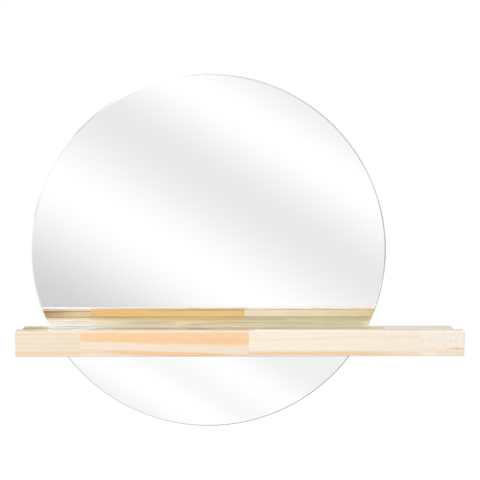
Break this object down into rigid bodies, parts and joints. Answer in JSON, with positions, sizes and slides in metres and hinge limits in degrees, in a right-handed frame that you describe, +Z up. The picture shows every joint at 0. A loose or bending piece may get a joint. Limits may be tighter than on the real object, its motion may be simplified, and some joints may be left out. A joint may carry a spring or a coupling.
{
  "type": "wall mirror with shelf",
  "caption": "Round frameless wall mirror crossed by a narrow pine shelf with a raised front lip, hung on two keyhole plates.",
  "frame": {"origin": "centre of the mirror circle, on the wall plane that the back of the panel lies on", "axes": "+X to the right for someone who looks at the mirror, +Y into the wall, +Z up"},
  "size_m": [0.6, 0.119, 0.4949],
  "materials": {
    "panel_board": "raw medium-density fibreboard, sanded",
    "mirror_glass": "silvered float glass, polished rim, grey paint on the back",
    "foam_tape": "white foam with adhesive on both faces",
    "pine_cream": "clear satin varnish",
    "pine_amber": "clear satin varnish",
    "pine_pale": "clear satin varnish",
    "pine_knotty": "clear satin varnish over small knots",
    "pine_floor": "clear satin varnish",
    "beech": "raw turned beech",
    "yellow_zinc": "yellow zinc plating",
    "zinc_plate": "bright zinc plating"
  },
  "bodies": {
    "root": {"back_panel": "panel_board", "upper_mirror": "mirror_glass", "lower_mirror": "mirror_glass", "upper_tape": "foam_tape", "lower_tape": "foam_tape", "lip_left_end": "pine_cream", "lip_left": "pine_amber", "lip_right": "pine_pale", "lip_right_end": "pine_knotty", "floor_front_left": "pine_cream", "floor_front_middle": "pine_floor", "floor_front_right": "pine_floor", "floor_back_left": "pine_floor", "floor_back_middle": "pine_floor", "floor_back_right": "pine_pale", "dowels": "beech", "shelf_screws": "yellow_zinc", "left_keyhole_plate": "zinc_plate", "right_keyhole_plate": "zinc_plate", "plate_screws": "zinc_plate"}
  },
  "joints": []
}
